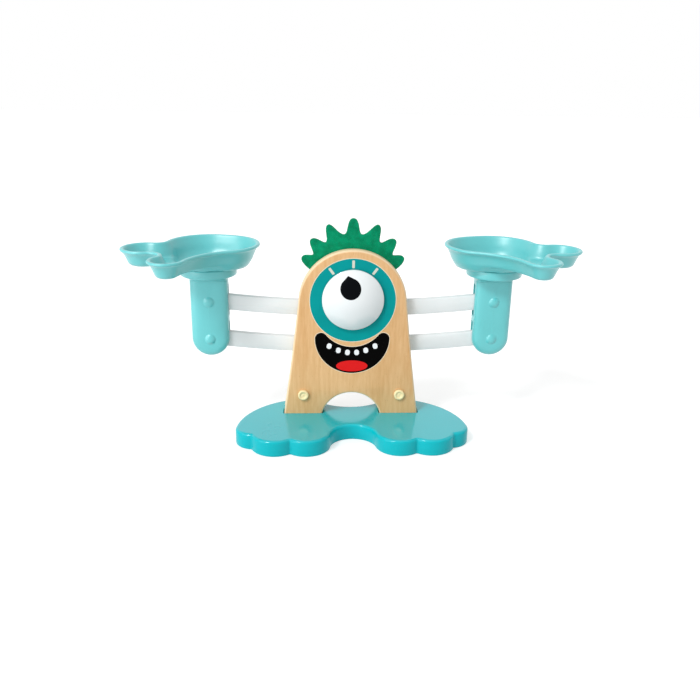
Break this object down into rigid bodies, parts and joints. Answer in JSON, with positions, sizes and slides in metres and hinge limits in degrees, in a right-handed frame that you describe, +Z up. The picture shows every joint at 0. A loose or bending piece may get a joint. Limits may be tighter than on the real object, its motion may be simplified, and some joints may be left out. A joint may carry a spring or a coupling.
{
  "type": "parallel-beam balance with two level dishes",
  "caption": "Toy math balance: teal two-footed base, wooden body with a green crest and a turning eye, two curved white beams, two aqua dishes that stay level",
  "frame": {"origin": "on the underside of the base, on the left-right centre line, below the front face of the body", "axes": "+X to the right seen from the front, +Y away from the viewer, +Z up"},
  "size_m": [0.4026, 0.1176, 0.1973],
  "materials": {
    "wood": "pale plywood with a faint peach tone, sealed and satin, edges sanded round and slightly paler",
    "base_teal": "teal paint over board, glossy top that reflects pale light, even colour down the rounded sides",
    "crest_felt": "matte mottled green felt, cut from one sheet, edges slightly fuzzy",
    "beam_white": "smooth white moulded plastic with softly rounded edges",
    "eye_white": "high-gloss white dome with sharp highlights",
    "pupil_black": "glossy black inlay with a thin white edge around it",
    "pan_aqua": "aqua moulded plastic, semi-gloss, slightly see-through look at thin edges, no texture",
    "peg_cream": "cream turned wooden pegs, satin, with a small dimple in each head",
    "steel": "plain bright steel pins and screws",
    "washer_nylon": "thin off-white nylon washers"
  },
  "bodies": {
    "stand": {"base_plate": "base_teal", "front_panel": "wood", "rear_panel": "wood", "crest": "crest_felt", "crest_spacer": "wood", "left_inner_base_screw": "steel", "left_outer_base_screw": "steel", "left_leg_spacer": "wood", "left_peg": "peg_cream", "left_crest_screw": "steel", "right_inner_base_screw": "steel", "right_outer_base_screw": "steel", "right_leg_spacer": "wood", "right_peg": "peg_cream", "right_crest_screw": "steel", "lower_axle": "steel", "upper_front_washer": "washer_nylon", "upper_rear_washer": "washer_nylon", "lower_front_washer": "washer_nylon", "lower_rear_washer": "washer_nylon"},
    "upper_beam": {"upper_beam": "beam_white"},
    "lower_beam": {"lower_beam": "beam_white"},
    "eye": {"eye_dome": "eye_white", "pupil": "pupil_black", "eye_screw": "steel"},
    "left_pan": {"left_pan": "pan_aqua", "left_collar": "pan_aqua", "left_post_front": "pan_aqua", "left_post_rear": "pan_aqua", "left_upper_pin": "steel", "left_lower_pin": "steel", "left_post_middle_screw": "steel", "left_post_top_screw": "steel"},
    "right_pan": {"right_pan": "pan_aqua", "right_collar": "pan_aqua", "right_post_front": "pan_aqua", "right_post_rear": "pan_aqua", "right_upper_pin": "steel", "right_lower_pin": "steel", "right_post_middle_screw": "steel", "right_post_top_screw": "steel"}
  },
  "joints": [
    {"name": "upper_beam_tilt", "type": "hinge", "parent": "stand", "child": "upper_beam", "pos_m": [0, 0.014, 0.1262], "axis": [0, 1, 0], "range_deg": [-12, 12]},
    {"name": "lower_beam_tilt", "type": "hinge", "parent": "stand", "child": "lower_beam", "pos_m": [0, 0.014, 0.091], "axis": [0, 1, 0], "range_deg": [-12, 12]},
    {"name": "left_pan_level", "type": "hinge", "parent": "upper_beam", "child": "left_pan", "pos_m": [-0.129, 0.014, 0.1222], "axis": [0, 1, 0], "range_deg": [-12, 12]},
    {"name": "right_pan_level", "type": "hinge", "parent": "upper_beam", "child": "right_pan", "pos_m": [0.129, 0.014, 0.1222], "axis": [0, 1, 0], "range_deg": [-12, 12]},
    {"name": "eye_turn", "type": "hinge", "parent": "upper_beam", "child": "eye", "pos_m": [0, 0, 0.1262], "axis": [0, 1, 0], "range_deg": [-25, 49]}
  ],
  "couplings": [
    {"joint": "lower_beam_tilt", "follows": "upper_beam_tilt", "ratio": 1},
    {"joint": "left_pan_level", "follows": "upper_beam_tilt", "ratio": -1},
    {"joint": "right_pan_level", "follows": "upper_beam_tilt", "ratio": -1}
  ]
}
